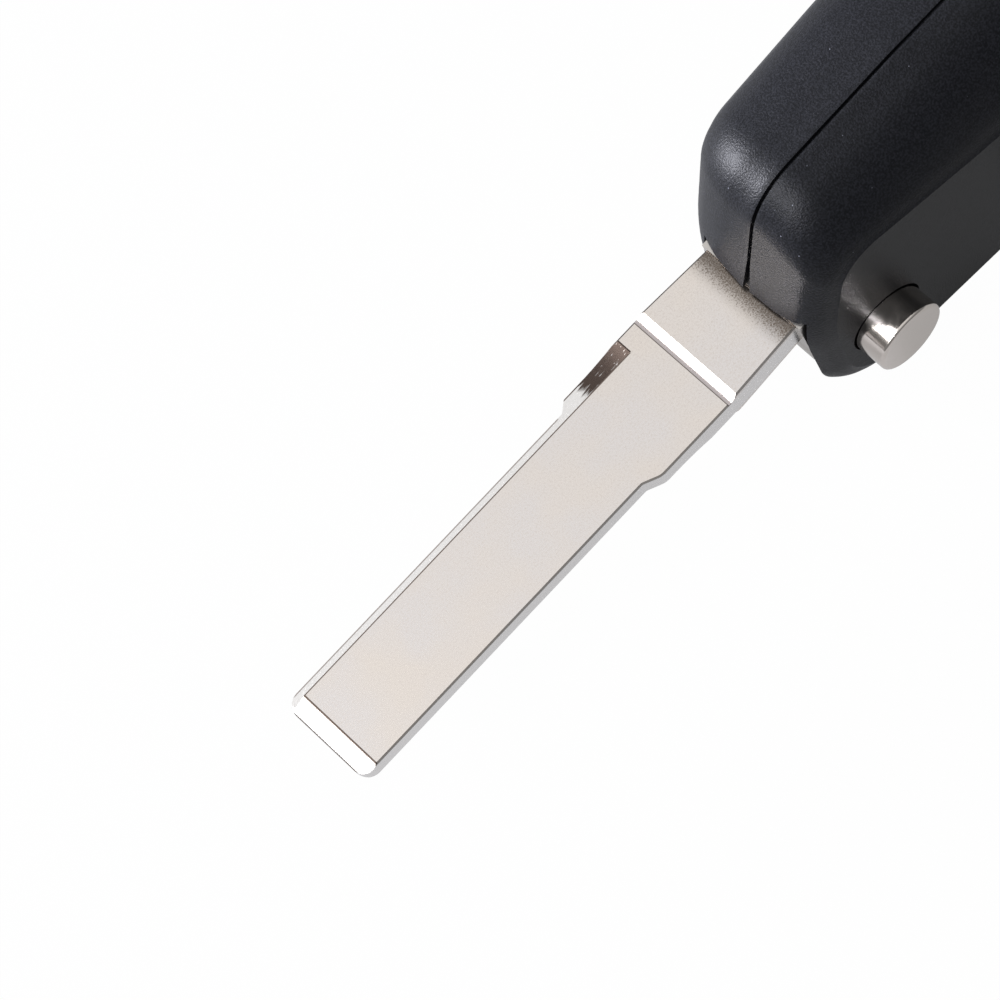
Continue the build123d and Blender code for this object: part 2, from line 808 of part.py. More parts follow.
def make_key_mat():
    """Silicone mat under the caps, with a hole for each stem."""
    y1 = BOARD_FRONT_Y - SWITCH_BODY
    y0 = y1 - MAT_THICK
    reach_x = KEY_LENGTH / 2 + KEY_FLANGE + MAT_MARGIN
    reach_z = KEY_HEIGHT / 2 + KEY_FLANGE + MAT_MARGIN
    mat = box_between(
        KEY_FIRST_X - reach_x,
        key_x(len(KEY_NAMES) - 1) + reach_x,
        y0,
        y1,
        KEY_Z - reach_z,
        KEY_Z + reach_z,
    )
    mat = fillet(mat.edges().filter_by(Axis.Y), MAT_CORNER_R)
    for index in range(len(KEY_NAMES)):
        mat -= rod(MAT_HOLE_R, y0 - PAST, y1 + PAST, key_x(index), KEY_Z)
    return mat


def make_circuit_board():
    board = box_between(
        BOARD_X0, BOARD_X1, BOARD_FRONT_Y, BOARD_FRONT_Y + BOARD_THICK, BOARD_Z0, BOARD_Z1
    )
    return fillet(board.edges().filter_by(Axis.Y), BOARD_CORNER_R)


def tact_switch(index):
    half = SWITCH_SIDE / 2
    front = BOARD_FRONT_Y - SWITCH_BODY
    x = key_x(index)
    body = box_between(x - half, x + half, front, BOARD_FRONT_Y, KEY_Z - half, KEY_Z + half)
    body = fillet(body.edges().filter_by(Axis.Y), SWITCH_CORNER_R)
    return body + rod(SWITCH_PLUNGER_R, front - SWITCH_PLUNGER, front, x, KEY_Z)


def make_control_chip():
    back = BOARD_FRONT_Y + BOARD_THICK
    body = box_between(
        CHIP_X - CHIP_LENGTH / 2,
        CHIP_X + CHIP_LENGTH / 2,
        back + CHIP_STAND,
        back + CHIP_HEIGHT,
        CHIP_Z - CHIP_WIDTH / 2,
        CHIP_Z + CHIP_WIDTH / 2,
    )
    body = chamfer(body.faces().sort_by(Axis.Y)[-1].edges(), CHIP_EDGE)
    for place in range(CHIP_LEGS):
        x = CHIP_X + (place - (CHIP_LEGS - 1) / 2) * CHIP_LEG_PITCH
        for side in (-1, 1):
            body += chip_leg(x, side, back)
    return body


def chip_leg(x, side, back):
    """Bent leg of the chip: out of its side, down to the board and along it."""
    x0 = x - CHIP_LEG_WIDTH / 2
    x1 = x + CHIP_LEG_WIDTH / 2
    edge = CHIP_WIDTH / 2
    root, knee, toe = (
        CHIP_Z + side * reach
        for reach in (edge - CHIP_LEG_THICK, edge + CHIP_LEG_KNEE, edge + CHIP_LEG_REACH)
    )
    inside = knee - side * CHIP_LEG_THICK
    top = back + CHIP_LEG_RISE
    leg = box_between(x0, x1, top - CHIP_LEG_THICK, top, *sorted((root, knee)))
    leg += box_between(x0, x1, back, top, *sorted((inside, knee)))
    return leg + box_between(x0, x1, back, back + CHIP_LEG_THICK, *sorted((inside, toe)))


def make_crystal():
    back = BOARD_FRONT_Y + BOARD_THICK
    plan = SlotOverall(CRYSTAL_LENGTH, CRYSTAL_WIDTH)
    base = Plane.XZ.offset(-back) * (Pos(CRYSTAL_X, CRYSTAL_Z) * plan)
    can = extrude(base, amount=-CRYSTAL_HEIGHT)
    return fillet(can.faces().sort_by(Axis.Y)[-1].edges(), CRYSTAL_EDGE_R)


def make_coil_antenna():
    """Wound ferrite coil: two flanges and a relieved middle that holds the winding."""
    back = BOARD_FRONT_Y + BOARD_THICK
    x0 = COIL_X - COIL_LENGTH / 2
    x1 = COIL_X + COIL_LENGTH / 2
    z0 = COIL_Z - COIL_WIDTH / 2
    z1 = COIL_Z + COIL_WIDTH / 2
    body = box_between(
        x0,
        x1,
        back + COIL_RELIEF,
        back + COIL_HEIGHT - COIL_RELIEF,
        z0 + COIL_RELIEF,
        z1 - COIL_RELIEF,
    )
    for start in (x0, x1 - COIL_FLANGE):
        body += box_between(start, start + COIL_FLANGE, back, back + COIL_HEIGHT, z0, z1)
    return body


def cell_front_y():
    return BOARD_FRONT_Y + BOARD_THICK + CELL_GAP


def make_coin_cell():
    y0 = cell_front_y()
    cell = rod(CELL_R, y0 + CELL_RIM, y0 + CELL_THICK, CELL_X, CELL_Z)
    cap = rod(CELL_R - CELL_POLE_INSET, y0, y0 + CELL_RIM, CELL_X, CELL_Z)
    edge = cell.faces().sort_by(Axis.Y)[-1].edges()
    return chamfer(edge, CELL_EDGE) + cap


def make_battery_contact_minus():
    """Flat spring on the board under the cell's small pole."""
    back = BOARD_FRONT_Y + BOARD_THICK
    half = CONTACT_WIDTH / 2
    x0 = CELL_X - CONTACT_BASE / 2
    x1 = CELL_X + CONTACT_BASE / 2
    base = box_between(x0, x1, back, back + CONTACT_THICK, CELL_Z - half, CELL_Z + half)
    root = x1 - CONTACT_FOLD
    bend = x0 + CONTACT_FOLD
    toe = x0 + CONTACT_TOE
    touch_y = cell_front_y() - CONTACT_TOUCH
    toe_y = touch_y - CONTACT_TOE_DROP
    section = Plane.XY * make_face(
        Polyline(
            (root, back + CONTACT_THICK / 2),
            (bend, touch_y - CONTACT_THICK),
            (toe, toe_y - CONTACT_THICK),
            (toe, toe_y),
            (bend, touch_y),
            (root, back + CONTACT_THICK),
            close=True,
        )
    )
    leaf_half = half * LEAF_SHARE
    return base + Pos(0, 0, CELL_Z - leaf_half) * extrude(section, amount=2 * leaf_half)


def make_battery_contact_plus():
    """Clip over the cell's wide pole, with a leg down to the board on each side."""
    back = BOARD_FRONT_Y + BOARD_THICK
    y1 = cell_front_y() + CELL_THICK + CONTACT_TOUCH
    half = CONTACT_WIDTH / 2
    reach = CELL_R + CLIP_SIDE_GAP
    z0 = CELL_Z - half
    z1 = CELL_Z + half
    clip = box_between(
        CELL_X - reach - CONTACT_THICK,
        CELL_X + reach + CONTACT_THICK,
        y1,
        y1 + CONTACT_THICK,
        z0,
        z1,
    )
    for side in (-1, 1):
        xa = CELL_X + side * reach
        xb = CELL_X + side * (reach + CONTACT_THICK)
        clip += box_between(min(xa, xb), max(xa, xb), back, y1 + CONTACT_THICK, z0, z1)
        xc = xb + side * CLIP_FOOT
        clip += box_between(
            min(xa, xc),
            max(xa, xc),
            back,
            back + CONTACT_THICK,
            z0 + CLIP_FOOT_INSET,
            z1 - CLIP_FOOT_INSET,
        )
    return clip


def make_transponder_capsule():
    body = Location((CAPSULE_X, CAPSULE_Y, CAPSULE_Z), (0, 90, 0)) * Cylinder(
        CAPSULE_R, CAPSULE_LENGTH
    )
    return fillet(body.edges().filter_by(GeomType.CIRCLE), CAPSULE_R - CAPSULE_END_FLAT_R)


def make_case_screw():
    back_y = BACK_HALF.depth_at(SCREW_X)
    head_y = back_y - SCREW_RECESS
    head = rod(SCREW_HEAD_R, head_y, head_y + SCREW_HEAD, SCREW_X, SCREW_Z)
    head = fillet(head.faces().sort_by(Axis.Y)[-1].edges(), SCREW_HEAD_ROUND)
    shank = rod(SCREW_R - SCREW_FIT, head_y - SCREW_LENGTH, head_y, SCREW_X, SCREW_Z)
    cross = 2 * SCREW_HEAD_R * SCREW_CROSS_SHARE
    for angle in (0, 90):
        bar = Box(cross, 2 * SCREW_CROSS_DEPTH, SCREW_CROSS_WIDTH)
        head -= Location((SCREW_X, head_y + SCREW_HEAD, SCREW_Z), (0, angle, 0)) * bar
    return head + shank


def build_parts():
    parts = {
        "front_cover": make_front_cover(),
        "back_cover": make_back_cover(),
        "blade": make_blade(),
        "blade_carrier": make_blade_carrier(),
        "roll_pin": make_roll_pin(),
        "release_button": make_release_button(),
        "flip_spring": make_flip_spring(),
        "key_mat": make_key_mat(),
        "circuit_board": make_circuit_board(),
        "control_chip": make_control_chip(),
        "crystal": make_crystal(),
        "coil_antenna": make_coil_antenna(),
        "coin_cell": make_coin_cell(),
        "battery_contact_minus": make_battery_contact_minus(),
        "battery_contact_plus": make_battery_contact_plus(),
        "transponder_capsule": make_transponder_capsule(),
        "case_screw": make_case_screw(),
    }
    for index, name in enumerate(KEY_NAMES):
        parts[name] = key_cap(index)
        parts["tact_switch_" + name.removesuffix("_key")] = tact_switch(index)
    return parts


os.makedirs("parts", exist_ok=True)
for node, solid in build_parts().items():
    export_step(solid, f"parts/{node}.step")
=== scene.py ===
import math

import bmesh
import bpy
from mathutils import Matrix, Vector


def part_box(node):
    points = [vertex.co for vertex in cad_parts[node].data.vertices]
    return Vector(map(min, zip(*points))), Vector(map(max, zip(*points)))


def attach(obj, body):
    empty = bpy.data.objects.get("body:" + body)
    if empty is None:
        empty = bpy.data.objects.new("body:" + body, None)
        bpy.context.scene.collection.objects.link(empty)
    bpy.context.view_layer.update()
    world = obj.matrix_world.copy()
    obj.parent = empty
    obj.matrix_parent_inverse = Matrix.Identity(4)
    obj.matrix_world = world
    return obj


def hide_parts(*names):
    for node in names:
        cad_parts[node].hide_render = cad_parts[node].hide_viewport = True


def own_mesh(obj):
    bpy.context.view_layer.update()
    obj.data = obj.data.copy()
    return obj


bl_info = {
    "name": "Flip Remote Key",
    "version": (1, 0, 0),
    "blender": (4, 5, 0),
    "location": "View3D > Sidebar > Remote Key",
    "description": "Finishes, lights and camera for a car remote key with a folding blade",
    "category": "Object",
}

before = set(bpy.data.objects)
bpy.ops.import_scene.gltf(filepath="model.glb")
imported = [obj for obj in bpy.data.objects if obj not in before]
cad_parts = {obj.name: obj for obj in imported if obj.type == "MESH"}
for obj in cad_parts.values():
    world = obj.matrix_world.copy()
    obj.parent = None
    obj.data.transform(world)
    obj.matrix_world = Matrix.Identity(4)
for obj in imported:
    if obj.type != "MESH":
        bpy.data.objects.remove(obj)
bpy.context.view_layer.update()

MM = 0.001

# Moulded case: its pale tone and the tone of its motes, which are partly dust and partly painted
# glints, and how the noise of the grain turns to tone
ABS_PALE = "#24252A"
ABS_DUST_AND_GLINT = "#585A62"
ABS_ROUGHNESS = 0.42
ABS_IOR = 1.53
ABS_SPECULAR = 0.115
GRAIN_TO_TONE = {"From Min": 0.4, "From Max": 0.65, "To Min": 1.0, "To Max": 0.55}
GRAIN_BUMP = 0.9
MOTE_RIM = {"From Min": 0.036, "From Max": 0.026}

# Bright nickel of the release button: width of its wear in mm, and what that does
WEAR_MM = 0.8
WEAR_TO_ROUGHNESS = {"From Min": 0.35, "From Max": 0.7, "To Min": 0.1, "To Max": 0.2}
WEAR_BUMP = 0.35
WEAR_DEPTH_MM = 0.02

# Finishes of the plain pieces: name, colour, roughness, metallic, width of a fleck in mm, nodes
FLECK_CONTRAST = 0.15
PLAIN_FINISHES = {
    "case": (("black_zinc_screw", "#2B2B2C", 0.4, 1.0, 0.5, ("case_screw",)),),
    "blade": (
        ("nickel_plated_zinc", "#C4C0BB", 0.3, 1.0, 0.5, ("blade_carrier",)),
        ("spring_steel", "#9A9A9C", 0.3, 1.0, 0.5, ("roll_pin", "flip_spring")),
    ),
    "keypad": (
        ("soft_touch_tpe", "#26272B", 0.62, 0.0, 0.15, ("lock_key", "unlock_key", "boot_key")),
        ("silicone_mat", "#8A8B8D", 0.55, 0.0, 0.5, ("key_mat",)),
    ),
    "electronics": (
        ("solder_mask", "#1F5A33", 0.35, 0.0, 0.5, ("circuit_board",)),
        ("moulded_epoxy", "#1B1B1C", 0.5, 0.0, 0.5, ("control_chip",)),
        ("drawn_steel_can", "#C4C3BF", 0.28, 1.0, 0.5, ("crystal", "coin_cell")),
        ("enamelled_copper", "#B4652F", 0.35, 0.8, 0.5, ("coil_antenna",)),
        (
            "nickel_plated_bronze",
            "#C9BFA8",
            0.32,
            1.0,
            0.5,
            ("battery_contact_minus", "battery_contact_plus"),
        ),
        ("capsule_glass", "#6E756C", 0.12, 0.0, 0.5, ("transponder_capsule",)),
        (
            "switch_housing",
            "#242425",
            0.5,
            0.0,
            0.5,
            ("tact_switch_lock", "tact_switch_unlock", "tact_switch_boot"),
        ),
    ),
}

# Flip spring: how round its wire is, and the pitch of its closed turns as a share of the wire
WIRE_SIDES = 12
WIRE_STEPS_A_TURN = 32
CLOSED_PITCH = 1.04

# Blade: the middle of its thickness, and half of that thickness
BLADE_LOW, BLADE_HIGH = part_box("blade")
BLADE_MID_Z = (BLADE_LOW.z + BLADE_HIGH.z) / 2
BLADE_HALF_MM = 1.175

# Satin nickel: two tints that drift into each other, the dark of the flecks between them, and
# how the flecks turn to tone, gloss and relief
NICKEL_TINTS = ("#DCD4CC", "#D9D4D1")
NICKEL_FLECK = "#C6BEB7"
CLOUD_TO_TINT = {"From Min": 0.35, "From Max": 0.65}
FLECK_TO_TONE = {"From Min": 0.28, "From Max": 0.55}
FLECK_TO_ROUGHNESS = {"From Min": 0.3, "From Max": 0.7, "To Min": 0.3, "To Max": 0.22}
FLECK_BUMP = 0.1
FLECK_DEPTH_MM = 0.01

# Patterns that break up a zone: their width in mm, how much the streaks are drawn out along the
# blade, and how hard their edges are
STREAK_MM = 0.13
STREAK_STRETCH = (0.07, 1.0, 1.0)
SPECK_MM = 0.12
PATTERN_EDGE = 5.0

# Places on the blade coloured otherwise than its blasted flats: the cut faces in a lighter tone,
# the cutter's run-out darker in streaks, and painted shade: dark lines painted along the rims,
# lips, the tip's end and the step's groove, which stand in for the shade and dark reflections of
# those edges, and a painted shade where the shank runs into the case's mouth. Each has a colour,
# how much of it shows, a pattern that breaks it up, and limits: a measure of the place, where the
# zone starts and where it is full. The measures are those of blade_measures, lengths in mm.
BLADE_ZONES = {
    "cut_faces": ("#DEDCDA", 1.0, None, (("sunk", 0.1, 0.14),)),
    # painted shade: a dark line along the outer rims of the narrow part, in place of the edge's
    # shade and dark reflection
    "narrow_rim_painted_shade": (
        "#9C948F",
        1.0,
        None,
        (
            ("sunk", 0.1, 0.14),
            ("side", 4.38, 4.42),
            ("along", 30.6, 30.4),
            ("flat", 0.9, 0.95),
        ),
    ),
    # painted shade: a darker line along the outer rims of the wide part, in place of the edge's
    # shade and dark reflection
    "wide_rim_painted_shade": (
        "#6E645E",
        1.0,
        None,
        (("sunk", 0.1, 0.14), ("side", 5.08, 5.12), ("flat", 0.9, 0.95)),
    ),
    # painted shade: a dark line along the edge at the very end of the tip
    "bevel_rim_painted_shade": ("#4F4A47", 1.0, None, (("along", 0.12, 0.08), ("flat", 0.6, 0.8))),
    "cutter_run_out": (
        "#4A403B",
        0.72,
        "streaks",
        (
            ("along", 31.6, 34.4),
            ("along", 38.14, 38.1),
            ("side", 3.65, 3.7),
            ("flat", 0.9, 0.95),
        ),
    ),
    # painted shade: a dark line where the raised middle drops to the rebate, in place of the
    # edge's dark reflection and the shade in the corner
    "rebate_lip_painted_shade": (
        "#6B5F58",
        1.0,
        None,
        (
            ("side", 3.58, 3.63),
            ("side", 3.74, 3.71),
            ("sunk", 0.1, 0.06),
            ("along", 1.45, 1.5),
            ("along", 38.04, 38.0),
        ),
    ),
    # painted shade: a grey band across the step's groove, in place of the shade in it
    "step_groove_painted_shade": (
        "#B7AFAE",
        1.0,
        None,
        (("along", 39.94, 39.98), ("along", 40.27, 40.23), ("height", 1.0, 1.05)),
    ),
    # painted shade: a dark line at the lip of the step's groove
    "groove_lip_painted_shade": (
        "#4F4640",
        1.0,
        None,
        (("along", 39.88, 39.92), ("along", 39.99, 39.95), ("height", 1.0, 1.05)),
    ),
    # painted shade: a dark line at the lip where the tip's bevel meets the raised middle
    "bevel_lip_painted_shade": (
        "#5F544D",
        1.0,
        None,
        (("along", 1.45, 1.49), ("along", 1.65, 1.61), ("sunk", 0.1, 0.06)),
    ),
    # painted shade: two of the four broken edges painted dark, in place of their dark reflection
    "broken_rims_painted_shade": ("#4D433D", 1.0, None, (("rim", 0.2, 0.35),)),
    # painted shade: the shank darkens towards the case's mouth, broken up by specks, in place of
    # the case's shade and its dark reflection on the nickel
    "mouth_painted_shade_specks": ("#8E847B", 0.52, "specks", (("along", 44.4, 47.2), ("flat", 0.6, 0.8))),
    # painted shade: smooth, darkest right at the case's mouth
    "mouth_painted_shade": ("#4A4037", 0.85, None, (("along", 45.2, 48.2), ("flat", 0.6, 0.8))),
}

# Camera, found from the edges of the blade and the case: the way to it from the key, the point
# that it looks at, its distance from there and its roll against the blade
CAMERA_WAY = (-0.064, -0.357, 0.932)
CAMERA_AIM_MM = (-31.3, 3.07, 15.2)
CAMERA_DISTANCE_MM = 418.4
CAMERA_ROLL_DEG = -133.53
CAMERA_SENSOR_MM = 36.0
CAMERA_CLIP = (0.01, 10.0)

# Studio room: half the floor's width in metres, its paint, the way to the bright ceiling, and
# where along that way the light rises from the walls' to the ceiling's
FLOOR_REACH = 1.5
FLOOR_PAINT = "#848484"
CEILING_WAY = (0.0, 0.25, 0.97)
CEILING_RISE = (0.28, 0.95)

# Lamps: the point that they face, their distance from it in metres, and for each the way to it,
# its size in metres, its watts and its colour
LAMP_AIM = (0.0, 0.0, 0.015)
LAMP_DISTANCE = 0.55
LAMPS = {
    "softbox": ((-0.64, 0.12, 0.74), 0.34, 2.2, "#FFFFFF"),
    "side_lamp": ((-0.52, 0.8, 0.3), 0.18, 9.5, "#F4F5FF"),
    "nose_lamp": ((-0.6, -0.06, 0.8), 0.12, 1.8, "#F4F5FF"),
}


def linear(hex_colour):
    """sRGB hex to a linear colour with an alpha of 1."""
    digits = hex_colour.lstrip("#")
    channels = [int(digits[place:place + 2], 16) / 255 for place in (0, 2, 4)]
    return tuple(
        value / 12.92 if value <= 0.04045 else ((value + 0.055) / 1.055) ** 2.4
        for value in channels
    ) + (1.0,)


def per_mm(size_mm):
    """Texture scale, in repeats a metre, of a pattern with this real size."""
    return 1000.0 / size_mm


def add_node(tree, kind, values=None, links=None, **settings):
    """Adds one node with its settings, the values on its sockets and the links into them."""
    node = tree.nodes.new(kind)
    for name, setting in settings.items():
        setattr(node, name, setting)
    for socket, value in (values or {}).items():
        node.inputs[socket].default_value = value
    for socket, source in (links or {}).items():
        tree.links.new(source, node.inputs[socket])
    return node


def new_material(name):
    """Empty node material with its Principled shader and the object's own coordinates."""
    material = bpy.data.materials.new(name)
    material.use_nodes = True
    tree = material.node_tree
    shader = tree.nodes["Principled BSDF"]
    place = tree.nodes.new("ShaderNodeTexCoord").outputs["Object"]
    return material, tree, shader, place


def dress(node_names, material):
    """Puts one material on CAD nodes."""
    for name in node_names:
        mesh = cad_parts[name].data
        mesh.materials.clear()
        mesh.materials.append(material)


class CaseSettings(bpy.types.PropertyGroup):
    colour: bpy.props.StringProperty(
        name="Colour", description="sRGB hex colour of the moulding", default="#0B0C0F"
    )
    grain: bpy.props.FloatProperty(
        name="Grain", description="Width of one grain of the texture, in mm", default=0.16
    )
    grain_depth: bpy.props.FloatProperty(
        name="Grain depth", description="Depth of the texture, in mm", default=0.04
    )
    # Motes that are partly dust and partly painted glints on the black plastic
    dust_and_glint: bpy.props.FloatProperty(
        name="Dust", description="Room between two motes of dust, in mm", default=1.9
    )


class BladeSettings(bpy.types.PropertyGroup):
    mottle: bpy.props.FloatProperty(
        name="Mottle", description="Width of one fleck of the satin plating, in mm", default=0.16
    )
    cloud: bpy.props.FloatProperty(
        name="Cloud", description="Width of one drift in the plating's tint, in mm", default=6.0
    )


class ButtonSettings(bpy.types.PropertyGroup):
    colour: bpy.props.StringProperty(
        name="Colour", description="sRGB hex colour of the bright nickel", default="#D2CBC5"
    )


class SpringSettings(bpy.types.PropertyGroup):
    wire: bpy.props.FloatProperty(
        name="Wire", description="Diameter of the spring's wire, in mm", default=0.55
    )
    open_turns: bpy.props.IntProperty(
        name="Open turns", description="Turns that give way when the spring is pressed", default=4
    )
    closed_turns: bpy.props.IntProperty(
        name="Closed turns", description="Turns at each end that lie on their neighbour", default=1
    )


class StageSettings(bpy.types.PropertyGroup):
    lens: bpy.props.FloatProperty(
        name="Lens", description="Focal length on a 36 mm sensor, in mm", default=195.84
    )
    floor_white: bpy.props.FloatProperty(
        name="Floor white", description="How much of the floor shows as plain white", default=0.985
    )
    mirrored_white: bpy.props.FloatProperty(
        name="Mirrored white", description="The same as metal and glass show it", default=0.35
    )
    ceiling_light: bpy.props.FloatProperty(
        name="Ceiling light", description="Light from above, where 1 is white", default=0.95
    )
    wall_light: bpy.props.FloatProperty(
        name="Wall light", description="Light from the walls, where 1 is white", default=0.25
    )


def spark_eroded_abs(settings):
    """Black ABS moulded in a spark-eroded tool: a fine grain that breaks up the highlights, and
    sparse pale motes, which are partly dust and partly painted glints.
    """
    material, tree, shader, place = new_material("moulded_abs_spark_grain")
    grain = add_node(
        tree,
        "ShaderNodeTexNoise",
        {"Scale": per_mm(settings.grain), "Detail": 1.0, "Roughness": 0.5},
        {"Vector": place},
    )
    tone = add_node(
        tree,
        "ShaderNodeMix",
        {"A": linear(ABS_PALE), "B": linear(settings.colour)},
        data_type="RGBA",
    )
    shade = add_node(
        tree,
        "ShaderNodeMapRange",
        GRAIN_TO_TONE,
        {"Value": grain.outputs["Fac"]},
    )
    tree.links.new(shade.outputs["Result"], tone.inputs["Factor"])
    # Sparse pale motes: partly dust, partly painted glints
    dust_and_glint = add_node(
        tree,
        "ShaderNodeTexVoronoi",
        {"Scale": per_mm(settings.dust_and_glint)},
        {"Vector": place},
    )
    mote = add_node(
        tree,
        "ShaderNodeMapRange",
        MOTE_RIM,
        {"Value": dust_and_glint.outputs["Distance"]},
    )
    dust_and_glint_tone = add_node(
        tree,
        "ShaderNodeMix",
        {"B": linear(ABS_DUST_AND_GLINT)},
        {"Factor": mote.outputs["Result"], "A": tone.outputs["Result"]},
        data_type="RGBA",
    )
    tree.links.new(dust_and_glint_tone.outputs["Result"], shader.inputs["Base Color"])
    shader.inputs["Roughness"].default_value = ABS_ROUGHNESS
    bump = add_node(
        tree,
        "ShaderNodeBump",
        {"Strength": GRAIN_BUMP, "Distance": settings.grain_depth * MM},
        {"Height": grain.outputs["Fac"]},
    )
    tree.links.new(bump.outputs["Normal"], shader.inputs["Normal"])
    shader.inputs["IOR"].default_value = ABS_IOR
    shader.inputs["Specular IOR Level"].default_value = ABS_SPECULAR
    return material


def blade_measures(tree, place):
    """Where a point is on the blade, in mm, and how its surface faces.

    The blade is the same when turned half round its length, so the side counts from the middle
    towards the rebate of the point's own face. Sunk is the depth below the raised middle, flat
    is 1 on the faces, and rim is above 0 on two of the four broken edges."""
    origin = Vector((BLADE_LOW.x, 0, BLADE_MID_Z))
    in_mm = add_node(
        tree,
        "ShaderNodeVectorMath",
        {1: (1 / MM, 1 / MM, 1 / MM), 2: -origin / MM},
        {0: place},
        operation="MULTIPLY_ADD",
    )
    spot = add_node(tree, "ShaderNodeSeparateXYZ", None, {0: in_mm.outputs[0]})
    facing = tree.nodes.new("ShaderNodeTexCoord").outputs["Normal"]
    lean = add_node(tree, "ShaderNodeSeparateXYZ", None, {0: facing})
    height, flat = (
        add_node(tree, "ShaderNodeMath", None, {0: source.outputs["Z"]}, operation="ABSOLUTE")
        for source in (spot, lean)
    )
    half = add_node(tree, "ShaderNodeMath", None, {0: spot.outputs["Z"]}, operation="SIGN")
    side = add_node(
        tree,
        "ShaderNodeMath",
        None,
        {0: spot.outputs["Y"], 1: half.outputs[0]},
        operation="MULTIPLY",
    )
    sunk = add_node(
        tree,
        "ShaderNodeMath",
        {0: BLADE_HALF_MM},
        {1: height.outputs[0]},
        operation="SUBTRACT",
    )
    rim = add_node(
        tree,
        "ShaderNodeMath",
        None,
        {0: lean.outputs["Y"], 1: lean.outputs["Z"]},
        operation="MULTIPLY",
    )
    return {
        "along": spot.outputs["X"],
        "side": side.outputs[0],
        "height": height.outputs[0],
        "sunk": sunk.outputs[0],
        "flat": flat.outputs[0],
        "rim": rim.outputs[0],
    }


def blade_patterns(tree, place):
    """Milling streaks along the blade, and specks that break up the painted shade at the case's
    mouth.
    """
    along = add_node(
        tree,
        "ShaderNodeVectorMath",
        {1: STREAK_STRETCH},
        {0: place},
        operation="MULTIPLY",
    )
    streaks = add_node(
        tree,
        "ShaderNodeTexNoise",
        {"Scale": per_mm(STREAK_MM), "Detail": 2.0, "Roughness": 0.6},
        {"Vector": along.outputs[0]},
    )
    specks = add_node(
        tree,
        "ShaderNodeTexNoise",
        {"Scale": per_mm(SPECK_MM), "Detail": 2.0, "Roughness": 0.6},
        {"Vector": place},
    )
    return {"streaks": streaks.outputs["Fac"], "specks": specks.outputs["Fac"]}


def satin_nickel(settings):
    """Nickel plate over blasted steel: a satin sheen, with the zones of BLADE_ZONES on it, most of
    them painted shade along its edges and at the case's mouth.
    """
    material, tree, shader, place = new_material("satin_nickel_plate")
    mottle = add_node(
        tree,
        "ShaderNodeTexNoise",
        {"Scale": per_mm(settings.mottle), "Detail": 3.0, "Roughness": 0.7},
        {"Vector": place},
    )
    cloud = add_node(
        tree,
        "ShaderNodeTexNoise",
        {"Scale": per_mm(settings.cloud), "Detail": 2.0},
        {"Vector": place},
    )
    tint = add_node(
        tree,
        "ShaderNodeMix",
        {"A": linear(NICKEL_TINTS[0]), "B": linear(NICKEL_TINTS[1])},
        data_type="RGBA",
    )
    drift = add_node(
        tree,
        "ShaderNodeMapRange",
        CLOUD_TO_TINT,
        {"Value": cloud.outputs["Fac"]},
    )
    tree.links.new(drift.outputs["Result"], tint.inputs["Factor"])
    tone = add_node(
        tree,
        "ShaderNodeMix",
        {"A": linear(NICKEL_FLECK)},
        {"B": tint.outputs["Result"]},
        data_type="RGBA",
    )
    spread = add_node(
        tree,
        "ShaderNodeMapRange",
        FLECK_TO_TONE,
        {"Value": mottle.outputs["Fac"]},
    )
    tree.links.new(spread.outputs["Result"], tone.inputs["Factor"])
    colour = tone.outputs["Result"]
    measures = blade_measures(tree, place)
    patterns = blade_patterns(tree, place)
    # Lays each zone, painted shade among them, over the nickel's tone
    for shade, amount, pattern, limits in BLADE_ZONES.values():
        share = None
        for measure, begins, full in limits:
            limit = add_node(
                tree,
                "ShaderNodeMapRange",
                {"From Min": begins, "From Max": full},
                {"Value": measures[measure]},
                interpolation_type="SMOOTHSTEP",
            )
            both = add_node(
                tree,
                "ShaderNodeMath",
                {1: amount},
                {0: limit.outputs["Result"]},
                operation="MULTIPLY",
            )
            if share:
                tree.links.new(share, both.inputs[1])
            share = both.outputs[0]
        if pattern:
            excess = add_node(
                tree,
                "ShaderNodeMath",
                None,
                {0: share, 1: patterns[pattern]},
                operation="SUBTRACT",
            )
            broken = add_node(
                tree,
                "ShaderNodeMath",
                {1: PATTERN_EDGE, 2: 0.5},
                {0: excess.outputs[0]},
                operation="MULTIPLY_ADD",
                use_clamp=True,
            )
            share = broken.outputs[0]
        laid = add_node(
            tree,
            "ShaderNodeMix",
            {"B": linear(shade)},
            {"Factor": share, "A": colour},
            data_type="RGBA",
        )
        colour = laid.outputs["Result"]
    tree.links.new(colour, shader.inputs["Base Color"])
    rough = add_node(
        tree,
        "ShaderNodeMapRange",
        FLECK_TO_ROUGHNESS,
        {"Value": mottle.outputs["Fac"]},
    )
    tree.links.new(rough.outputs["Result"], shader.inputs["Roughness"])
    bump = add_node(
        tree,
        "ShaderNodeBump",
        {"Strength": FLECK_BUMP, "Distance": FLECK_DEPTH_MM * MM},
        {"Height": mottle.outputs["Fac"]},
    )
    tree.links.new(bump.outputs["Normal"], shader.inputs["Normal"])
    shader.inputs["Metallic"].default_value = 1.0
    return material


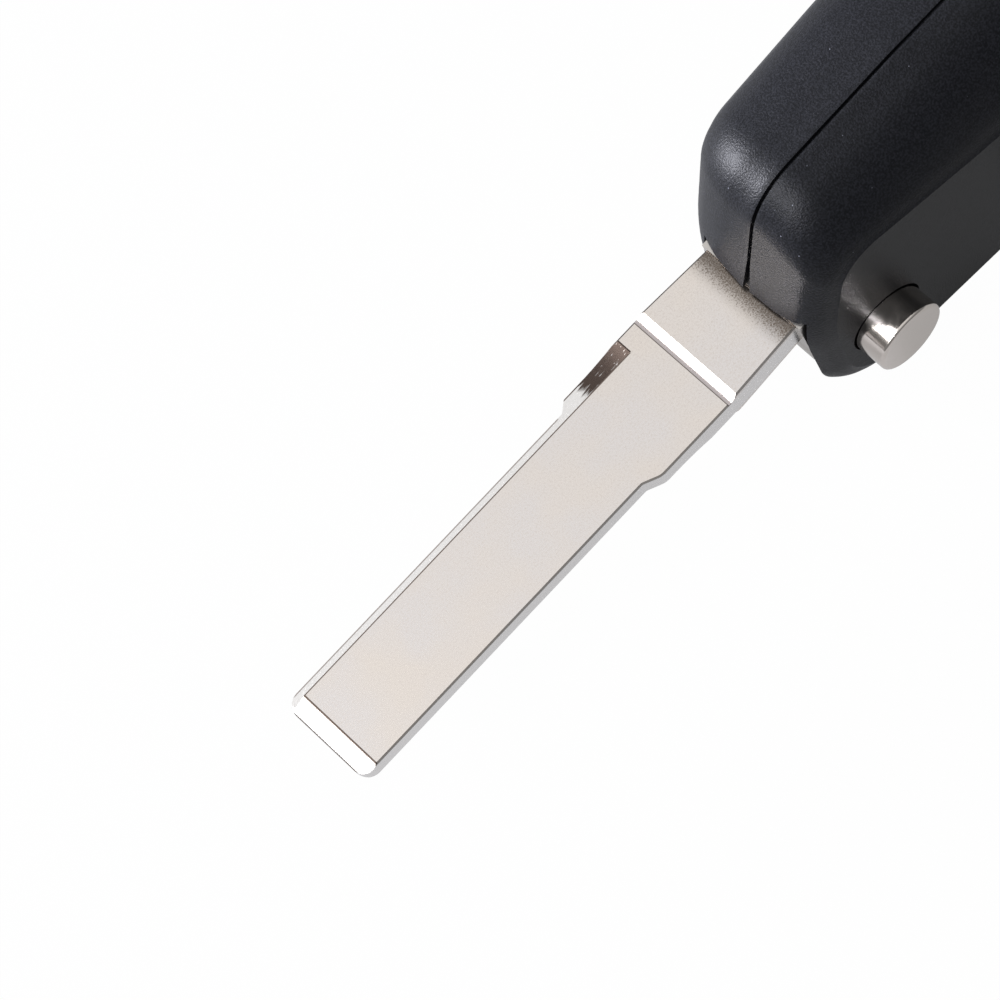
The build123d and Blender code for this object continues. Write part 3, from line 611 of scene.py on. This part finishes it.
def bright_nickel(settings):
    """Polished part with bright nickel: near mirror gloss, with the faint dents of use."""
    material, tree, shader, place = new_material("bright_nickel_turned")
    shader.inputs["Base Color"].default_value = linear(settings.colour)
    shader.inputs["Metallic"].default_value = 1.0
    wear = add_node(
        tree,
        "ShaderNodeTexNoise",
        {"Scale": per_mm(WEAR_MM), "Detail": 3.0},
        {"Vector": place},
    )
    rough = add_node(
        tree,
        "ShaderNodeMapRange",
        WEAR_TO_ROUGHNESS,
        {"Value": wear.outputs["Fac"]},
    )
    tree.links.new(rough.outputs["Result"], shader.inputs["Roughness"])
    dents = add_node(
        tree,
        "ShaderNodeBump",
        {"Strength": WEAR_BUMP, "Distance": WEAR_DEPTH_MM * MM},
        {"Height": wear.outputs["Fac"]},
    )
    tree.links.new(dents.outputs["Normal"], shader.inputs["Normal"])
    return material


def plain_finish(name, colour, roughness, metallic, fleck_mm):
    """Finish of a plain piece: one colour that a fine noise breaks up a little."""
    material, tree, shader, place = new_material(name)
    base = linear(colour)
    dark = tuple(value * (1 - FLECK_CONTRAST) for value in base[:3]) + (1.0,)
    noise = add_node(
        tree,
        "ShaderNodeTexNoise",
        {"Scale": per_mm(fleck_mm), "Detail": 2.0},
        {"Vector": place},
    )
    tone = add_node(
        tree,
        "ShaderNodeMix",
        {"A": dark, "B": base},
        {"Factor": noise.outputs["Fac"]},
        data_type="RGBA",
    )
    tree.links.new(tone.outputs["Result"], shader.inputs["Base Color"])
    shader.inputs["Roughness"].default_value = roughness
    shader.inputs["Metallic"].default_value = metallic
    return material


def dress_plain(group):
    """Puts their finishes on the plain pieces of one group."""
    for name, colour, roughness, metallic, fleck_mm, nodes in PLAIN_FINISHES[group]:
        dress(nodes, plain_finish(name, colour, roughness, metallic, fleck_mm))


def coil_spring(name, settings, low, high):
    """Round wire coiled along Y to fill a box, with closed turns at both ends."""
    wire = settings.wire * MM
    middle = (low + high) / 2
    coil_r = (high.x - low.x - wire) / 2
    closed = settings.closed_turns * WIRE_STEPS_A_TURN
    opened = settings.open_turns * WIRE_STEPS_A_TURN
    closed_rise = CLOSED_PITCH * wire / WIRE_STEPS_A_TURN
    open_rise = (high.y - low.y - wire - 2 * closed * closed_rise) / opened
    rises = [closed_rise] * closed + [open_rise] * opened + [closed_rise] * closed
    made = bmesh.new()
    rings = []
    y = low.y + wire / 2
    for step, rise in enumerate(rises + [closed_rise]):
        turn = 2 * math.pi * step / WIRE_STEPS_A_TURN
        outward = Vector((math.sin(turn), 0, math.cos(turn)))
        round_way = Vector((math.cos(turn), 0, -math.sin(turn)))
        heading = round_way * (2 * math.pi * coil_r / WIRE_STEPS_A_TURN) + Vector((0, rise, 0))
        sideways = heading.normalized().cross(outward)
        centre = Vector((middle.x, y, middle.z)) + outward * coil_r
        ring = []
        for side in range(WIRE_SIDES):
            angle = 2 * math.pi * side / WIRE_SIDES
            way = outward * math.cos(angle) + sideways * math.sin(angle)
            ring.append(made.verts.new(centre + way * wire / 2))
        rings.append(ring)
        y += rise
    for ring, after in zip(rings, rings[1:]):
        for side in range(WIRE_SIDES):
            follow = (side + 1) % WIRE_SIDES
            quad = made.faces.new((ring[side], ring[follow], after[follow], after[side]))
            quad.smooth = True
    made.faces.new(rings[0])
    made.faces.new(rings[-1])
    bmesh.ops.recalc_face_normals(made, faces=made.faces)
    mesh = bpy.data.meshes.new(name)
    made.to_mesh(mesh)
    made.free()
    coil = bpy.data.objects.new(name, mesh)
    bpy.context.scene.collection.objects.link(coil)
    return coil


class KEY_OT_case(bpy.types.Operator):
    """Finishes the two covers and the case screw"""

    bl_idname = "remote_key.case"
    bl_label = "Case"

    def execute(self, context):
        settings = context.scene.remote_key_case
        dress(["front_cover", "back_cover"], spark_eroded_abs(settings))
        dress_plain("case")
        return {"FINISHED"}


class KEY_OT_blade(bpy.types.Operator):
    """Finishes the blade, its carrier and the roll pin"""

    bl_idname = "remote_key.blade"
    bl_label = "Blade"

    def execute(self, context):
        dress(["blade"], satin_nickel(context.scene.remote_key_blade))
        dress_plain("blade")
        return {"FINISHED"}


class KEY_OT_spring(bpy.types.Operator):
    """Coils the flip spring at the length of the CAD spring, which it replaces; the real one
    shortens as the release button is pressed.
    """

    bl_idname = "remote_key.spring"
    bl_label = "Flip spring"

    def execute(self, context):
        low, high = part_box("flip_spring")
        coil = coil_spring("flip_spring_coil", context.scene.remote_key_spring, low, high)
        coil.data.materials.append(bpy.data.materials["spring_steel"])
        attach(coil, "blade")
        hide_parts("flip_spring")
        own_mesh(coil)
        return {"FINISHED"}


class KEY_OT_button(bpy.types.Operator):
    """Finishes the release button"""

    bl_idname = "remote_key.button"
    bl_label = "Release button"

    def execute(self, context):
        dress(["release_button"], bright_nickel(context.scene.remote_key_button))
        return {"FINISHED"}


class KEY_OT_keypad(bpy.types.Operator):
    """Finishes the remote keys and the mat behind them"""

    bl_idname = "remote_key.keypad"
    bl_label = "Remote keys"

    def execute(self, context):
        dress_plain("keypad")
        return {"FINISHED"}


class KEY_OT_electronics(bpy.types.Operator):
    """Finishes the circuit board and what it carries"""

    bl_idname = "remote_key.electronics"
    bl_label = "Electronics"

    def execute(self, context):
        dress_plain("electronics")
        return {"FINISHED"}


def key_camera(lens):
    """Camera at the photograph's angle, rolled so that the blade points as it does there."""
    towards = Vector(CAMERA_WAY).normalized()
    tip_way = Vector((-1, 0, 0))
    tip_way = (tip_way - tip_way.dot(towards) * towards).normalized()
    across = towards.cross(tip_way)
    roll = math.radians(CAMERA_ROLL_DEG)
    right = math.cos(roll) * tip_way - math.sin(roll) * across
    up = math.sin(roll) * tip_way + math.cos(roll) * across
    data = bpy.data.cameras.new("photo_camera")
    data.lens = lens
    data.sensor_width = CAMERA_SENSOR_MM
    data.clip_start, data.clip_end = CAMERA_CLIP
    camera = bpy.data.objects.new("photo_camera", data)
    turn = Matrix((right, up, towards)).transposed().to_4x4()
    place = (Vector(CAMERA_AIM_MM) + towards * CAMERA_DISTANCE_MM) * MM
    camera.matrix_world = Matrix.Translation(place) @ turn
    bpy.context.scene.collection.objects.link(camera)
    bpy.context.scene.camera = camera


def soft_lamp(name, place, aim, size, watts, colour):
    """Square studio lamp of one size in metres, which faces a point."""
    data = bpy.data.lights.new(name, "AREA")
    data.shape = "SQUARE"
    data.size = size
    data.energy = watts
    data.color = linear(colour)[:3]
    lamp = bpy.data.objects.new(name, data)
    lamp.location = place
    way = Vector(aim) - Vector(place)
    lamp.rotation_euler = way.to_track_quat("-Z", "Y").to_euler()
    bpy.context.scene.collection.objects.link(lamp)


def white_floor(share, mirror_share):
    """Pale floor that shows white to the camera and keeps a faint shadow of the key."""
    material = bpy.data.materials.new("white_sweep")
    material.use_nodes = True
    tree = material.node_tree
    tree.nodes.clear()
    ray = tree.nodes.new("ShaderNodeLightPath")
    mirrors = add_node(
        tree,
        "ShaderNodeMath",
        None,
        {0: ray.outputs["Is Glossy Ray"], 1: ray.outputs["Is Transmission Ray"]},
        operation="MAXIMUM",
    )
    mirrored = add_node(
        tree,
        "ShaderNodeMath",
        {1: mirror_share},
        {0: mirrors.outputs["Value"]},
        operation="MULTIPLY",
    )
    seen = add_node(
        tree,
        "ShaderNodeMath",
        {1: share},
        {0: ray.outputs["Is Camera Ray"], 2: mirrored.outputs["Value"]},
        operation="MULTIPLY_ADD",
    )
    glow = add_node(tree, "ShaderNodeEmission", {"Color": (1, 1, 1, 1), "Strength": 1.0})
    paint = add_node(tree, "ShaderNodeBsdfDiffuse", {"Color": linear(FLOOR_PAINT)})
    mix = add_node(
        tree,
        "ShaderNodeMixShader",
        None,
        {0: seen.outputs["Value"], 1: paint.outputs["BSDF"], 2: glow.outputs["Emission"]},
    )
    add_node(tree, "ShaderNodeOutputMaterial", None, {"Surface": mix.outputs["Shader"]})
    return material


def studio_world(settings):
    """White room that the camera sees as white, with a bright ceiling and dim walls."""
    world = bpy.data.worlds.new("studio")
    world.use_nodes = True
    tree = world.node_tree
    tree.nodes.clear()
    ray = tree.nodes.new("ShaderNodeLightPath")
    way = tree.nodes.new("ShaderNodeTexCoord").outputs["Generated"]
    height = add_node(
        tree,
        "ShaderNodeVectorMath",
        {1: Vector(CEILING_WAY).normalized()},
        {0: way},
        operation="DOT_PRODUCT",
    )
    wall = add_node(
        tree,
        "ShaderNodeMapRange",
        {
            "From Min": CEILING_RISE[0],
            "From Max": CEILING_RISE[1],
            "To Min": settings.wall_light,
            "To Max": settings.ceiling_light,
        },
        {"Value": height.outputs["Value"]},
        interpolation_type="SMOOTHSTEP",
    )
    fill = add_node(
        tree,
        "ShaderNodeBackground",
        {"Color": (1, 1, 1, 1)},
        {"Strength": wall.outputs["Result"]},
    )
    white = add_node(tree, "ShaderNodeBackground", {"Color": (1, 1, 1, 1), "Strength": 1.0})
    mix = add_node(
        tree,
        "ShaderNodeMixShader",
        None,
        {
            0: ray.outputs["Is Camera Ray"],
            1: fill.outputs["Background"],
            2: white.outputs["Background"],
        },
    )
    add_node(tree, "ShaderNodeOutputWorld", None, {"Surface": mix.outputs["Shader"]})
    bpy.context.scene.world = world


class KEY_OT_stage(bpy.types.Operator):
    """Sets up the white floor, the studio lamps, the world and the camera"""

    bl_idname = "remote_key.stage"
    bl_label = "Stage"

    def execute(self, context):
        settings = context.scene.remote_key_stage
        key_camera(settings.lens)
        floor_mesh = bpy.data.meshes.new("floor")
        ways = ((-1, -1), (1, -1), (1, 1), (-1, 1))
        corners = [(x * FLOOR_REACH, y * FLOOR_REACH, 0) for x, y in ways]
        floor_mesh.from_pydata(corners, [], [(0, 1, 2, 3)])
        floor = bpy.data.objects.new("floor", floor_mesh)
        white = white_floor(settings.floor_white, settings.mirrored_white)
        floor_mesh.materials.append(white)
        bpy.context.scene.collection.objects.link(floor)
        for name, (way, size, watts, colour) in LAMPS.items():
            place = Vector(LAMP_AIM) + Vector(way).normalized() * LAMP_DISTANCE
            soft_lamp(name, place, LAMP_AIM, size, watts, colour)
        studio_world(settings)
        context.scene.view_settings.view_transform = "Standard"
        return {"FINISHED"}


class KEY_PT_panel(bpy.types.Panel):
    """Sidebar panel with the key's finishes"""

    bl_label = "Remote Key"
    bl_idname = "KEY_PT_panel"
    bl_space_type = "VIEW_3D"
    bl_region_type = "UI"
    bl_category = "Remote Key"

    def draw(self, context):
        scene = context.scene
        for operator in OPERATORS:
            self.layout.operator(operator.bl_idname)
        for group in GROUPS:
            settings = getattr(scene, group)
            for name in settings.bl_rna.properties.keys():
                if name not in ("rna_type", "name"):
                    self.layout.prop(settings, name)


GROUPS = {
    "remote_key_case": CaseSettings,
    "remote_key_blade": BladeSettings,
    "remote_key_button": ButtonSettings,
    "remote_key_spring": SpringSettings,
    "remote_key_stage": StageSettings,
}
OPERATORS = (
    KEY_OT_case,
    KEY_OT_blade,
    KEY_OT_spring,
    KEY_OT_button,
    KEY_OT_keypad,
    KEY_OT_electronics,
    KEY_OT_stage,
)


def register():
    for name, group in GROUPS.items():
        bpy.utils.register_class(group)
        setattr(bpy.types.Scene, name, bpy.props.PointerProperty(type=group))
    for operator in OPERATORS:
        bpy.utils.register_class(operator)
    bpy.utils.register_class(KEY_PT_panel)


def unregister():
    bpy.utils.unregister_class(KEY_PT_panel)
    for operator in reversed(OPERATORS):
        bpy.utils.unregister_class(operator)
    for name, group in GROUPS.items():
        delattr(bpy.types.Scene, name)
        bpy.utils.unregister_class(group)


def main():
    register()
    bpy.ops.remote_key.case()
    bpy.ops.remote_key.blade()
    bpy.ops.remote_key.spring()
    bpy.ops.remote_key.button()
    bpy.ops.remote_key.keypad()
    bpy.ops.remote_key.electronics()
    bpy.ops.remote_key.stage()


if __name__ == "__main__":
    main()
